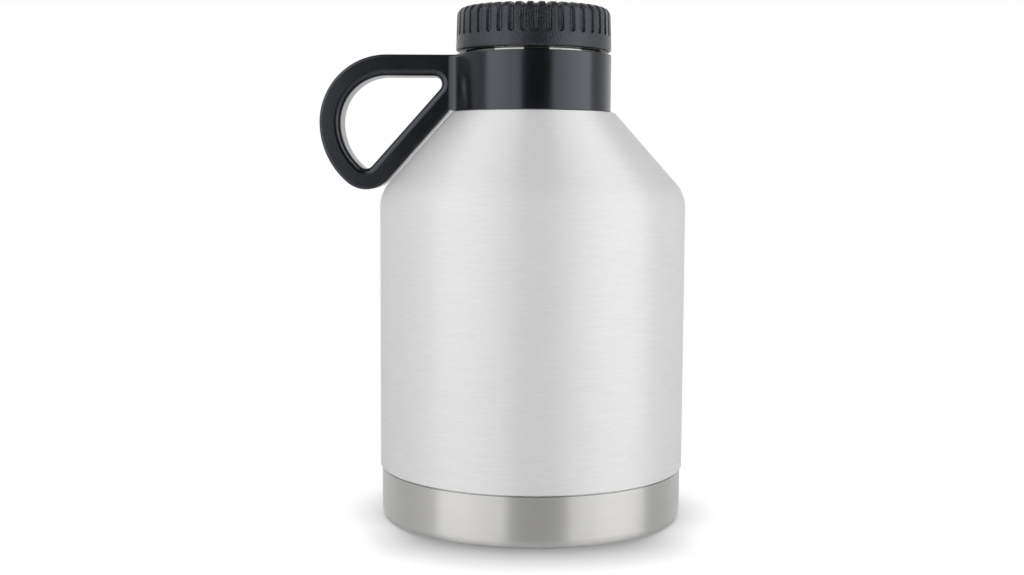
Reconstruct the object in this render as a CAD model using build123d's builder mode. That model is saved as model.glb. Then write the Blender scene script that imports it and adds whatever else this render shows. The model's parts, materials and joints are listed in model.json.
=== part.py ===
from build123d import *
import math
import os

# An insulated steel growler: a double-walled vessel with a screw cap and a
# carrying loop. Millimetres. The vessel's axis is Z, its foot stands on Z = 0,
# and the carrying loop points along -X.

# Outer shell
body_radius = 67.5         # outside of the coated shell
shell_wall = 0.7
body_seam = 22.8           # height of the coated shell's lower edge
shoulder_start = 143.5     # height where the side line meets the shoulder line
shoulder_bend = 16.8       # radius of the bend between side and shoulder
ledge_height = 179.0       # where the shoulder turns in to the ledge round the neck
ledge_margin = 1.7         # ledge outside the collar
ledge_bend = 1.6
neck_sleeve_radius = 31.0  # outside of the short neck that the collar sits on

# Base
cup_wall = 0.8
cup_overlap = 8.0          # how far the base cup reaches up inside the shell
cup_corner = 4.0
foot_width = 10.75         # of the ring that the growler stands on
cover_thickness = 0.8
cover_edge_gap = 0.4
well_radius = 7.0          # dimple around the evacuation hole
well_depth = 3.0
vent_radius = 1.2
seal_radius = 4.0
seal_height = 1.8

# Inner vessel
vacuum_gap = 3.4           # between the inner vessel and the shell, at the side
shoulder_gap = 6.1         # the same, at the shoulder
inner_wall = 0.6
inner_floor_height = 8.0   # underside of the inner vessel's floor
inner_corner = 8.0
inner_seam = 24.0          # weld between the inner floor and the inner side
inner_shoulder_bend = 14.0
foil_thickness = 0.2
foil_margin = 3.0
getter_offset = 30.0       # from the axis, along X
getter_radius = 6.4
getter_height = 2.6
getter_holder_wall = 0.3

# Neck
mouth_setback = 4.5        # mouth inside the neck sleeve's outside
neck_setback = 2.4         # neck under its thread, inside the same
neck_lip = 3.0             # depth of the solid rim above the inner neck tube
neck_skirt = 10.0          # part of the neck finish inside the neck sleeve
rim_chamfer = 0.5

# Thread, two starts, right-handed
thread_lead = 8.0
thread_starts = 2
thread_height = 1.1
neck_thread_turns = 1.1
neck_thread_lift = 4.9     # thread's start above the neck's step
cap_thread_turns = 1.1
neck_ridge_foot = 1.9
neck_ridge_crest = 1.0
cap_ridge_foot = 1.5
cap_ridge_crest = 0.7
ridge_root_sink = 0.3      # how far a ridge's foot is buried in its wall

# Collar and carrying loop
collar_wall = 2.9          # round the neck sleeve
collar_height = 24.6
collar_edge = 0.4          # rounding of the collar's two outer edges
collar_gasket_thickness = 0.5
collar_gasket_width = 1.4
handle_reach = 93.5        # from the axis to the loop's far side
handle_bar = 9.2           # width of the loop's bar, seen from the side
handle_depth = 19.0        # width of the loop's bar, across the growler
handle_drop = 0.5          # loop's top below the collar's top
handle_upper_arc = 29.6
handle_lower_arc = 34.4
handle_shoulder_gap = 0.9
handle_hole_corner = 3.5
handle_hole_round = 2.8
handle_edge_round = 1.2
root_fillet = 6.0
lug_count = 3
lug_width = 5.0
lug_height = 5.0
lug_reach = 1.3
lug_lift = 4.0             # lug's underside above the ledge
ring_seat_depth = 1.7      # recess in the collar's top for the retaining ring
ring_thickness = 1.1
ring_bite = 0.9            # how deep the retaining ring sits in the neck
ring_width = 3.05
ring_gap = 7.0             # opening of the split retaining ring
neck_land = 0.4            # neck above the retaining ring's groove

# Cap
cap_wall = 4.2             # outside of the thread's bore
cap_draft = 0.5            # the cap is this much smaller in radius at its top
cap_height = 18.8
cap_gap = 1.4              # between the collar's top and the cap's lower edge
cap_roof = 2.6
cap_top_round = 3.7
cap_edge_round = 0.8
flute_count = 40
flute_radius = 1.3
flute_lift = 0.2           # flute's centre line outside the cap's wall
cap_band = 6.2             # plain band below the flutes
seal_ring_thickness = 1.6
plug_depth = 18.0
plug_wall = 1.6
plug_corner = 3.0
plug_clearance = 0.4       # between the plug and the mouth
foam_clearance = 0.1

# Clearances
running_gap = 0.3          # between curved faces of pieces that move or slide on
weld_gap = 0.05            # between nested round pieces that are welded or pressed
cutter_margin = 1.0        # how far a cutting solid passes the face it opens

# Heights that follow from the sizes above
collar_bottom = ledge_height + collar_gasket_thickness
collar_top = collar_bottom + collar_height
neck_sleeve_top = collar_top - ring_seat_depth
cap_bottom = collar_top + cap_gap
cap_top = cap_bottom + cap_height
cap_ceiling = cap_top - cap_roof
rim_top = cap_ceiling - seal_ring_thickness
plug_bottom = cap_ceiling - plug_depth
ring_top = neck_sleeve_top + ring_thickness
neck_step = ring_top + weld_gap + neck_land
handle_top = collar_top - handle_drop
neck_thread_start = neck_step + neck_thread_lift
cap_thread_start = neck_thread_start - thread_lead / thread_starts / 2

# Radii that follow from the sizes above
cup_radius = body_radius - shell_wall - weld_gap
foot_inner_radius = cup_radius - foot_width
inner_radius = body_radius - shell_wall - vacuum_gap
mouth_radius = neck_sleeve_radius - mouth_setback
inner_neck_radius = mouth_radius + inner_wall
neck_skirt_radius = neck_sleeve_radius - shell_wall - weld_gap
neck_root_radius = neck_sleeve_radius - neck_setback
neck_crest_radius = neck_root_radius + thread_height
cap_bore_radius = neck_crest_radius + running_gap
cap_radius = cap_bore_radius + cap_wall
plug_radius = mouth_radius - plug_clearance
collar_bore_radius = neck_sleeve_radius + running_gap
collar_radius = collar_bore_radius + collar_wall
ledge_radius = collar_radius + ledge_margin
ring_inner_radius = neck_skirt_radius - ring_bite
ring_outer_radius = ring_inner_radius + ring_width
ring_seat_radius = ring_outer_radius + running_gap

# The shoulder line leans in from the side by this slope
shoulder_run = body_radius - ledge_radius
shoulder_rise = ledge_height - shoulder_start
shoulder_length = math.hypot(shoulder_run, shoulder_rise)
shoulder_slope = shoulder_run / shoulder_rise


def shoulder_radius(height, inset):
    """Radius at a height of the shoulder line moved inward by inset."""
    return body_radius - (height - shoulder_start) * shoulder_slope - inset * shoulder_length / shoulder_rise


def shoulder_height(radius, inset):
    """Height at a radius of the shoulder line moved inward by inset."""
    return shoulder_start + (body_radius - radius) / shoulder_slope - inset * shoulder_length / shoulder_run


def spun_sheet(points, bends, wall, side):
    """Sheet of even wall, turned about Z from its outer line."""
    with BuildPart() as sheet:
        with BuildSketch(Plane.XZ):
            with BuildLine():
                FilletPolyline(*points, radius=bends)
                offset(amount=wall, side=side)
            make_face()
        revolve(axis=Axis.Z)
    return sheet.part


def spun_solid(points, bends):
    """Solid turned about Z from a closed outline, with one bend radius for each corner."""
    with BuildPart() as solid:
        with BuildSketch(Plane.XZ):
            with BuildLine():
                FilletPolyline(*points, radius=bends, close=True)
            make_face()
        revolve(axis=Axis.Z)
    return solid.part


def spun_ring(inner, outer, bottom, top):
    """Plain ring about Z."""
    with BuildPart() as ring:
        with BuildSketch(Plane.XY.offset(bottom)):
            Circle(outer)
            Circle(inner, mode=Mode.SUBTRACT)
        extrude(amount=top - bottom)
    return ring.part


def thread_ridges(radius, start_height, turns, foot_width, crest_width, reach):
    """Helical ridges, one for each thread start, standing out by reach (inward if negative)."""
    sink = math.copysign(ridge_root_sink, reach)
    with BuildPart() as ridges:
        with BuildLine():
            path = Helix(thread_lead, thread_lead * turns, radius, center=(0, 0, start_height))
        with BuildSketch(Plane(origin=path @ 0, x_dir=(1, 0, 0), z_dir=path % 0)):
            with BuildLine():
                Polyline(
                    (-sink, -foot_width / 2),
                    (reach, -crest_width / 2),
                    (reach, crest_width / 2),
                    (-sink, foot_width / 2),
                    close=True,
                )
            make_face()
        sweep(path=path, is_frenet=True)
        first_ridge = ridges.part
        with PolarLocations(0, thread_starts - 1, start_angle=360 / thread_starts, angular_range=360):
            add(first_ridge)
    return ridges.part


def make_outer_shell():
    outer_line = [
        (body_radius, body_seam),
        (body_radius, shoulder_start),
        (ledge_radius, ledge_height),
        (neck_sleeve_radius + weld_gap, ledge_height),
    ]
    return spun_sheet(outer_line, [shoulder_bend, ledge_bend], shell_wall, Side.LEFT)


def make_neck_sleeve():
    inside = neck_sleeve_radius - shell_wall
    return spun_ring(inside, neck_sleeve_radius, ledge_height - shell_wall, neck_sleeve_top)


def make_base_cup():
    # Outer line from the hidden rim down the side, under the foot and up into the well
    outer_line = [
        (cup_radius, body_seam + cup_overlap),
        (cup_radius, 0),
        (foot_inner_radius, 0),
        (foot_inner_radius, cover_thickness),
        (well_radius, cover_thickness),
        (well_radius, cover_thickness + well_depth),
        (vent_radius, cover_thickness + well_depth),
    ]
    step_bend = cover_thickness * 0.4
    return spun_sheet(outer_line, [cup_corner, step_bend, 0, 0, 0], cup_wall, Side.RIGHT)


def make_base_cover():
    with BuildPart() as base_cover:
        with BuildSketch(Plane.XY):
            Circle(foot_inner_radius - cover_edge_gap)
        extrude(amount=cover_thickness)
    return base_cover.part


def make_seal_bead():
    well_roof = cover_thickness + well_depth
    with BuildPart() as seal_bead:
        with BuildSketch(Plane.XY.offset(well_roof - seal_height)):
            Circle(seal_radius)
        extrude(amount=seal_height)
        fillet(seal_bead.edges().sort_by(Axis.Z)[0], radius=seal_height / 2)
    return seal_bead.part


def make_getter_holder():
    floor_top = cover_thickness + cup_wall
    outside = getter_radius + weld_gap + getter_holder_wall
    with BuildPart() as getter_holder:
        with BuildSketch(Plane.XY.offset(floor_top)):
            with Locations((getter_offset, 0)):
                Circle(outside)
        extrude(amount=getter_holder_wall + getter_height)
        with BuildSketch(Plane.XY.offset(floor_top + getter_holder_wall)):
            with Locations((getter_offset, 0)):
                Circle(outside - getter_holder_wall)
        extrude(amount=getter_height, mode=Mode.SUBTRACT)
    return getter_holder.part


def make_getter_pill():
    holder_floor = cover_thickness + cup_wall + getter_holder_wall
    with BuildPart() as getter_pill:
        with BuildSketch(Plane.XY.offset(holder_floor)):
            with Locations((getter_offset, 0)):
                Circle(getter_radius)
        extrude(amount=getter_height)
    return getter_pill.part


def make_inner_bottom():
    outer_line = [(inner_radius, inner_seam), (inner_radius, inner_floor_height), (0, inner_floor_height)]
    return spun_sheet(outer_line, [inner_corner], inner_wall, Side.RIGHT)


def make_inner_vessel():
    inset = shell_wall + shoulder_gap
    outer_line = [
        (inner_radius, inner_seam),
        (inner_radius, shoulder_height(inner_radius, inset)),
        (inner_neck_radius, shoulder_height(inner_neck_radius, inset)),
    ]
    return spun_sheet(outer_line, [inner_shoulder_bend], inner_wall, Side.LEFT)


def make_inner_neck():
    bottom = shoulder_height(inner_neck_radius, shell_wall + shoulder_gap) + weld_gap
    return spun_ring(mouth_radius, inner_neck_radius, bottom, rim_top - neck_lip)


def make_foil_wrap():
    inside = inner_radius + weld_gap
    top = shoulder_height(inner_radius, shell_wall + shoulder_gap) - inner_shoulder_bend
    return spun_ring(inside, inside + foil_thickness, inner_seam + foil_margin, top - foil_margin)


def make_neck_finish():
    bore = inner_neck_radius + weld_gap
    lip_bottom = rim_top - neck_lip
    groove_bottom = neck_sleeve_top - weld_gap
    groove_top = ring_top + weld_gap
    outline = [
        (bore, neck_sleeve_top - neck_skirt),
        (neck_skirt_radius, neck_sleeve_top - neck_skirt),
        (neck_skirt_radius, groove_bottom),
        (ring_inner_radius - weld_gap, groove_bottom),
        (ring_inner_radius - weld_gap, groove_top),
        (neck_skirt_radius, groove_top),
        (neck_skirt_radius, neck_step),
        (neck_root_radius, neck_step),
        (neck_root_radius, rim_top - rim_chamfer),
        (neck_root_radius - rim_chamfer, rim_top),
        (mouth_radius, rim_top),
        (mouth_radius, lip_bottom),
        (bore, lip_bottom),
    ]
    ridges = thread_ridges(
        neck_root_radius,
        neck_thread_start,
        neck_thread_turns,
        neck_ridge_foot,
        neck_ridge_crest,
        thread_height,
    )
    with BuildPart() as neck_finish:
        add(spun_solid(outline, [0] * len(outline)))
        add(ridges)
    return neck_finish.part


def make_collar_gasket():
    outside = collar_radius - collar_edge
    return spun_ring(outside - collar_gasket_width, outside, ledge_height, collar_bottom)


def make_anti_turn_lugs():
    with BuildPart() as anti_turn_lugs:
        with BuildSketch(Plane.XY.offset(ledge_height + lug_lift)):
            with PolarLocations(neck_sleeve_radius, lug_count, start_angle=180):
                Rectangle(2 * lug_reach, lug_width)
            Circle(neck_sleeve_radius + weld_gap, mode=Mode.SUBTRACT)
        extrude(amount=lug_height)
    return anti_turn_lugs.part


def make_retaining_ring():
    with BuildPart() as retaining_ring:
        with BuildSketch(Plane.XY.offset(neck_sleeve_top)):
            Circle(ring_outer_radius)
            Circle(ring_inner_radius, mode=Mode.SUBTRACT)
            with Locations((0, ring_outer_radius)):
                Rectangle(ring_gap, 2 * ring_width + cutter_margin, mode=Mode.SUBTRACT)
        extrude(amount=ring_thickness)
    return retaining_ring.part


def loop_hole():
    # The loop's opening, in the plane of the growler's axis: a level top, two arcs
    # round the far side, and a straight side that runs parallel to the shoulder
    upper_arc = handle_upper_arc - handle_bar
    lower_arc = handle_lower_arc - handle_bar
    far_side = handle_bar - handle_reach
    middle_height = handle_top - handle_upper_arc
    hole_top = handle_top - handle_bar
    side_inset = -(handle_shoulder_gap + handle_bar)
    side_top = Vector(-shoulder_radius(hole_top, side_inset), hole_top)
    down_side = Vector(-shoulder_run, -shoulder_rise).normalized()
    arc_centre = Vector(far_side + lower_arc, middle_height)
    along = (arc_centre - side_top).dot(down_side)
    across = (arc_centre - side_top - down_side * along).length
    low_corner = side_top + down_side * (along + math.sqrt(lower_arc**2 - across**2))
    low_angle = math.degrees(math.atan2(arc_centre.Y - low_corner.Y, arc_centre.X - low_corner.X))
    with BuildSketch(Plane.XZ) as hole:
        with BuildLine():
            Line(side_top, (far_side + upper_arc, hole_top))
            CenterArc((far_side + upper_arc, middle_height), upper_arc, 90, 90)
            CenterArc(arc_centre, lower_arc, 180, low_angle)
            Line(low_corner, side_top)
        make_face()
        lowest = hole.vertices().sort_by(Axis.Y)[0]
        nearest = hole.vertices().sort_by(Axis.X)[-1]
        fillet([lowest, nearest], radius=handle_hole_corner)
    return hole.sketch_local


def loop_outline(hole):
    # The loop's outer line keeps an even bar round the hole, and a web joins it to the collar
    middle_height = handle_top - handle_upper_arc
    with BuildSketch(Plane.XZ) as outline:
        add(hole)
        offset(amount=handle_bar, kind=Kind.ARC)
        with BuildLine():
            Polyline(
                (handle_upper_arc - handle_reach, handle_top),
                (0, handle_top),
                (0, collar_bottom),
                (-shoulder_radius(collar_bottom, -handle_shoulder_gap), collar_bottom),
                (-shoulder_radius(middle_height, -handle_shoulder_gap), middle_height),
                close=True,
            )
        make_face()
    return outline.sketch_local


def make_loop_plate(outline, hole):
    with BuildPart() as plate:
        with BuildSketch(Plane.XZ):
            add(outline)
            add(hole, mode=Mode.SUBTRACT)
        extrude(amount=handle_depth / 2, both=True)
        flat_sides = plate.faces().filter_by(Axis.Y)
        fillet([side.inner_wires()[0].edges() for side in flat_sides], radius=handle_hole_round)
        flat_sides = plate.faces().filter_by(Axis.Y)
        fillet([side.outer_wire().edges() for side in flat_sides], radius=handle_edge_round)
    return plate.part


def make_loop_root(outline):
    # Hollow bends that lead from the collar's round side to the loop's flat sides
    half_depth = handle_depth / 2
    block_reach = math.sqrt((collar_radius + root_fillet) ** 2 - (half_depth + root_fillet) ** 2)
    with BuildPart() as root:
        with BuildSketch(Plane.XY.offset(collar_bottom)) as section:
            Circle(collar_radius)
            with Locations((-(block_reach + weld_gap) / 2, 0)):
                Rectangle(block_reach + weld_gap, handle_depth)
            fillet(section.vertices().group_by(Axis.X)[1], radius=root_fillet)
        extrude(amount=collar_height - handle_drop)
        fillet(root.faces().sort_by(Axis.Z)[-1].edges(), radius=handle_edge_round)
        with BuildSketch(Plane.XZ):
            add(outline)
            with Locations((0, collar_bottom)):
                Rectangle(2 * collar_radius, collar_height, align=(Align.CENTER, Align.MIN))
        extrude(amount=2 * collar_radius, both=True, mode=Mode.INTERSECT)
    return root.part


def make_handle():
    hole = loop_hole()
    outline = loop_outline(hole)
    collar_outline = [(0, collar_bottom), (collar_radius, collar_bottom), (collar_radius, collar_top), (0, collar_top)]
    key_height = lug_lift - collar_gasket_thickness + lug_height + running_gap
    with BuildPart() as handle:
        add(make_loop_plate(outline, hole))
        add(make_loop_root(outline))
        add(spun_solid(collar_outline, [0, collar_edge, collar_edge, 0]))
        with BuildSketch(Plane.XY.offset(collar_bottom - cutter_margin)):
            Circle(collar_bore_radius)
        extrude(amount=collar_height + 2 * cutter_margin, mode=Mode.SUBTRACT)
        with BuildSketch(Plane.XY.offset(neck_sleeve_top)):
            Circle(ring_seat_radius)
        extrude(amount=ring_seat_depth + cutter_margin, mode=Mode.SUBTRACT)
        with BuildSketch(Plane.XY.offset(collar_bottom - cutter_margin)):
            with PolarLocations(neck_sleeve_radius, lug_count, start_angle=180):
                Rectangle(2 * (lug_reach + running_gap), lug_width + 2 * running_gap)
        extrude(amount=cutter_margin + key_height, mode=Mode.SUBTRACT)
    return handle.part


def make_cap_shell():
    outline = [
        (cap_bore_radius, cap_bottom),
        (cap_radius, cap_bottom),
        (cap_radius - cap_draft, cap_top),
        (0, cap_top),
        (0, cap_ceiling),
        (cap_bore_radius, cap_ceiling),
    ]
    ridges = thread_ridges(
        cap_bore_radius,
        cap_thread_start,
        cap_thread_turns,
        cap_ridge_foot,
        cap_ridge_crest,
        -thread_height,
    )
    cutter = make_flute_cutter()
    with BuildPart() as cap_shell:
        add(spun_solid(outline, [0, cap_edge_round, cap_top_round, 0, 0, 0]))
        with PolarLocations(0, flute_count):
            add(cutter, mode=Mode.SUBTRACT)
        add(ridges)
    return cap_shell.part


def make_flute_cutter():
    # A round-ended channel that climbs the cap's wall and follows its rounded top edge
    wall_radius = cap_radius - cap_draft
    bend_centre = (wall_radius - cap_top_round, cap_top - cap_top_round)
    channel_radius = cap_top_round + flute_lift
    with BuildPart() as cutter:
        with BuildLine(Plane.XZ) as path:
            foot = Line((wall_radius + flute_lift, cap_bottom + cap_band + flute_radius),
                        (wall_radius + flute_lift, cap_top - cap_top_round))
            CenterArc(bend_centre, channel_radius, 0, 90)
        with BuildSketch(Plane(origin=foot @ 0, x_dir=(1, 0, 0), z_dir=foot % 0)):
            Circle(flute_radius)
        sweep(path=path.line)
        with Locations(foot @ 0, path.line @ 1):
            Sphere(flute_radius)
    return cutter.part


def make_cap_plug():
    outer_line = [(plug_radius, cap_ceiling), (plug_radius, plug_bottom), (0, plug_bottom)]
    return spun_sheet(outer_line, [plug_corner], plug_wall, Side.RIGHT)


def make_cap_insulation():
    with BuildPart() as cap_insulation:
        with BuildSketch(Plane.XY.offset(plug_bottom + plug_wall)):
            Circle(plug_radius - plug_wall - foam_clearance)
        extrude(amount=plug_depth - plug_wall - foam_clearance)
        fillet(cap_insulation.edges().sort_by(Axis.Z)[0], radius=plug_corner - plug_wall + foam_clearance)
    return cap_insulation.part


def make_cap_gasket():
    return spun_ring(plug_radius + running_gap, neck_crest_radius - weld_gap, rim_top, cap_ceiling)


makers = {
    "outer_shell": make_outer_shell,
    "neck_sleeve": make_neck_sleeve,
    "base_cup": make_base_cup,
    "base_cover": make_base_cover,
    "seal_bead": make_seal_bead,
    "getter_holder": make_getter_holder,
    "getter_pill": make_getter_pill,
    "inner_bottom": make_inner_bottom,
    "inner_vessel": make_inner_vessel,
    "inner_neck": make_inner_neck,
    "foil_wrap": make_foil_wrap,
    "neck_finish": make_neck_finish,
    "collar_gasket": make_collar_gasket,
    "anti_turn_lugs": make_anti_turn_lugs,
    "retaining_ring": make_retaining_ring,
    "handle": make_handle,
    "cap_shell": make_cap_shell,
    "cap_plug": make_cap_plug,
    "cap_insulation": make_cap_insulation,
    "cap_gasket": make_cap_gasket,
}

os.makedirs("parts", exist_ok=True)
for name, maker in makers.items():
    piece = maker()
    piece.label = name
    export_step(piece, f"parts/{name}.step")
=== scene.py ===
import json
import math

import bmesh
import bpy
import numpy as np
from mathutils import Matrix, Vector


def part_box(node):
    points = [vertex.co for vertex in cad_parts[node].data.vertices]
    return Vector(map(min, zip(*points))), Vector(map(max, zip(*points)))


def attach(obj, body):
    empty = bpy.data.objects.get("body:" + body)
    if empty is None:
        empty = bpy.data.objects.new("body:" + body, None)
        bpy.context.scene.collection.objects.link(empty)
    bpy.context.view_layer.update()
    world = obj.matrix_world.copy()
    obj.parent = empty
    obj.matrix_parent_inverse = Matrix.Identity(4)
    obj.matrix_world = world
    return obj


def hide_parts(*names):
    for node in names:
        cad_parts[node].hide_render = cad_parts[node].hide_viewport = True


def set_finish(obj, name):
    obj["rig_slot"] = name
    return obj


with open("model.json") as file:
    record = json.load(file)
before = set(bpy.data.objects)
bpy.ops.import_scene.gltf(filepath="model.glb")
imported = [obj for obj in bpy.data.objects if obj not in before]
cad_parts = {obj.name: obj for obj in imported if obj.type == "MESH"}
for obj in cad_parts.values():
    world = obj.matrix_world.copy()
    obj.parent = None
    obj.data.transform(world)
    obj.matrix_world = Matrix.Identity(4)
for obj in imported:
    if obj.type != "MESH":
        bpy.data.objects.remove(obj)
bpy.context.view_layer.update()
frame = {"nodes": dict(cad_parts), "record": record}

mm = 0.001
tiny = 1e-6              # mm, for points that are the same

cameraView = {
    "distance": 0.6115,      # in front of the growler's axis
    "height": 0.1567,
    "sideways": -0.0004,
    "lookDown": 5.18,        # degrees
    "turn": 0.80,
    "roll": 0.32,
    "lens": 48.23,           # mm, on a sensor of this width
    "sensor": 36.0,
    "nearest": 0.01,
    "farthest": 50.0,
}


def makeCamera(view):
    # Camera in front of the growler: moved to its place, then turned, tilted down and rolled there
    data = bpy.data.cameras.new("studioCamera")
    data.lens = view["lens"]
    data.sensor_width = view["sensor"]
    data.clip_start = view["nearest"]
    data.clip_end = view["farthest"]
    camera = bpy.data.objects.new("studioCamera", data)
    bpy.context.scene.collection.objects.link(camera)
    place = Matrix.Translation((view["sideways"], -view["distance"], view["height"]))
    turn = Matrix.Rotation(math.radians(view["turn"]), 4, "Z")
    tilt = Matrix.Rotation(math.radians(90 - view["lookDown"]), 4, "X")
    roll = Matrix.Rotation(math.radians(view["roll"]), 4, "Z")
    camera.matrix_world = place @ turn @ tilt @ roll
    bpy.context.scene.camera = camera


makeCamera(cameraView)
print("camera placed")


def runPoints(start, end, rows):
    # Straight run: start + (end - start) * (1 - cos(pi s)) / 2, so its rows bunch at both ends
    s = (1 - np.cos(np.pi * np.linspace(0, 1, rows))) / 2
    return start + (end - start) * s[:, None]


def bendPoints(corner, before, after, radius, steps):
    # Round corner: the arc that touches both runs, centre = corner + bisector * radius / sin(half angle)
    inward = (before - corner) / np.linalg.norm(before - corner)
    outward = (after - corner) / np.linalg.norm(after - corner)
    half = math.acos(np.clip(inward @ outward, -1, 1)) / 2
    bisector = (inward + outward) / np.linalg.norm(inward + outward)
    centre = corner + bisector * radius / math.sin(half)
    first = corner + inward * radius / math.tan(half) - centre
    last = corner + outward * radius / math.tan(half) - centre
    sweep = math.atan2(first[0] * last[1] - first[1] * last[0], first @ last)
    angle = sweep * np.linspace(0, 1, steps)
    turned = np.stack([first[0] * np.cos(angle) - first[1] * np.sin(angle),
                       first[0] * np.sin(angle) + first[1] * np.cos(angle)], 1)
    return centre + turned


def outline(corners, radii, rows=8, steps=9, closed=True):
    # Profile of straight runs joined by round corners; a radius of 0 keeps the corner sharp
    points = np.array(corners, float)
    count = len(points)
    arcs = []
    for i in range(count):
        sharp = radii[i] == 0 or (not closed and i in (0, count - 1))
        if sharp:
            arcs.append(points[i:i + 1])
        else:
            arcs.append(bendPoints(points[i], points[i - 1], points[(i + 1) % count], radii[i], steps))
    pieces = []
    for i in range(count if closed else count - 1):
        pieces.append(arcs[i])
        run = runPoints(arcs[i][-1], arcs[(i + 1) % count][0], rows)
        pieces.append(run[1:-1])
    if not closed:
        pieces.append(arcs[-1])
    return np.concatenate(pieces)


def insetLine(corners, wall):
    # Same line moved to its right by wall: each corner moves by wall (n1 + n2) / (1 + n1 . n2)
    points = np.array(corners, float)
    along = np.diff(points, axis=0)
    along /= np.linalg.norm(along, axis=1)[:, None]
    normal = np.stack([along[:, 1], -along[:, 0]], 1)
    n1 = np.concatenate([normal[:1], normal])
    n2 = np.concatenate([normal, normal[-1:]])
    return points + wall * (n1 + n2) / (1 + np.sum(n1 * n2, 1))[:, None]


def gridMesh(name, grid, closedRows=True):
    # Mesh of a grid of points, rows by columns: each face joins point (i, j) to (i, j + 1), (i + 1, j + 1)
    # and (i + 1, j). Columns always close round the axis, and points nearer than weldReach become one
    weldReach = 1e-7         # metres
    rows, columns = grid.shape[:2]
    i = np.arange(rows if closedRows else rows - 1)
    j = np.arange(columns)
    a = (i[:, None] * columns + j).ravel()
    b = (i[:, None] * columns + (j + 1) % columns).ravel()
    below = (i + 1) % rows
    c = (below[:, None] * columns + (j + 1) % columns).ravel()
    d = (below[:, None] * columns + j).ravel()
    mesh = bpy.data.meshes.new(name)
    mesh.from_pydata(grid.reshape(-1, 3) * mm, [], np.stack([a, b, c, d], 1).tolist())
    work = bmesh.new()
    work.from_mesh(mesh)
    bmesh.ops.remove_doubles(work, verts=work.verts, dist=weldReach)
    bmesh.ops.dissolve_degenerate(work, edges=work.edges, dist=weldReach)
    bmesh.ops.recalc_face_normals(work, faces=work.faces)
    work.to_mesh(mesh)
    work.free()
    mesh.polygons.foreach_set("use_smooth", np.ones(len(mesh.polygons), bool))
    piece = bpy.data.objects.new(name, mesh)
    bpy.context.scene.collection.objects.link(piece)
    return piece


def turnedGrid(profile, columns):
    # Turned shape: each profile point (r, z) goes to (r cos t, r sin t, z)
    t = np.linspace(0, 2 * np.pi, columns, endpoint=False)
    r, z = profile[:, 0:1], profile[:, 1:2]
    return np.stack([r * np.cos(t), r * np.sin(t), z + 0 * t], 2)


def threadRise(z, t, thread):
    # Height of a screw thread: 1 on the crest, falling to 0 at the foot as s^2 (3 - 2 s) on both sides.
    # The ridge's middle climbs by lead for each turn, and its ends run out over runOut degrees
    rise = np.zeros(np.broadcast(z, t).shape)
    for start in range(thread["starts"]):
        for lap in range(2):
            turn = (t / (2 * np.pi) - start / thread["starts"]) % 1 + lap
            away = np.abs(z - thread["bottom"] - thread["lead"] * turn)
            side = np.clip((thread["foot"] / 2 - away) * 2 / (thread["foot"] - thread["crest"]), 0, 1)
            ends = np.clip(np.minimum(turn, thread["turns"] - turn) * 360 / thread["runOut"], 0, 1)
            rise = np.maximum(rise, side * side * (3 - 2 * side) * np.sqrt(ends))
    return rise


def box(node):
    # A node's lowest and highest corners, in millimetres
    low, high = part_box(node)
    return np.array(low) / mm, np.array(high) / mm


shellShape = {
    "wall": 0.7,
    "shoulderStart": 143.5,
    "shoulderBend": 16.8,
    "ledgeRadius": 35.9,
    "ledgeBend": 1.6,
    "ledgeEdge": 0.1,
    "hemRound": 0.3,
    "neckGap": 0.05,         # between the ledge and the neck sleeve
    "rows": 14,
    "bendSteps": 17,
    "columns": 256,
}


def makeCoatedShell(shape):
    # Turned sheet: side, bend, shoulder and ledge, then back down inside it at wall's distance, with a
    # rounded hem at the bottom
    low, high = box("outer_shell")
    radius, wall, edge = high[0], shape["wall"], shape["ledgeEdge"]
    neck = box("neck_sleeve")[1][0] + shape["neckGap"]
    line = [(radius, low[2]), (radius, shape["shoulderStart"]),
            (shape["ledgeRadius"], high[2]), (neck, high[2])]
    inner = insetLine(line, -wall)
    corners = line + inner[::-1].tolist()
    radii = [shape["hemRound"], shape["shoulderBend"], shape["ledgeBend"], edge,
             edge, shape["ledgeBend"] - wall, shape["shoulderBend"] - wall, shape["hemRound"]]
    profile = outline(corners, radii, rows=shape["rows"], steps=shape["bendSteps"])
    piece = gridMesh("coatedShell", turnedGrid(profile, shape["columns"]))
    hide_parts("outer_shell")
    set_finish(piece, "coated_shell")
    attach(piece, "vessel")
    return piece


cupShape = {
    "wall": 0.8,
    "footInner": 56.0,
    "footStep": 0.8,
    "wellRadius": 7.0,
    "ventRadius": 1.2,
    "wellTop": 3.8,
    "grooveDepth": 0.45,     # rolled groove just under the coated shell's hem
    "grooveHeight": 0.65,
    "grooveStart": 0.5,      # above the hem, behind it
    "grooveLip": 0.1,
    "grooveEdge": 0.12,
    "outerRounds": (0.2, 0, 0, 0.05, 0.08, 4.0, 0.3, 0.2, 0.8, 0.3, 0.2),
    "innerRounds": (0.2, 0.8, 0.3, 0.3, 0.2, 3.2, 0, 0, 0, 0, 0.2),
    "rows": 9,
    "bendSteps": 7,
    "columns": 256,
}


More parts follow.
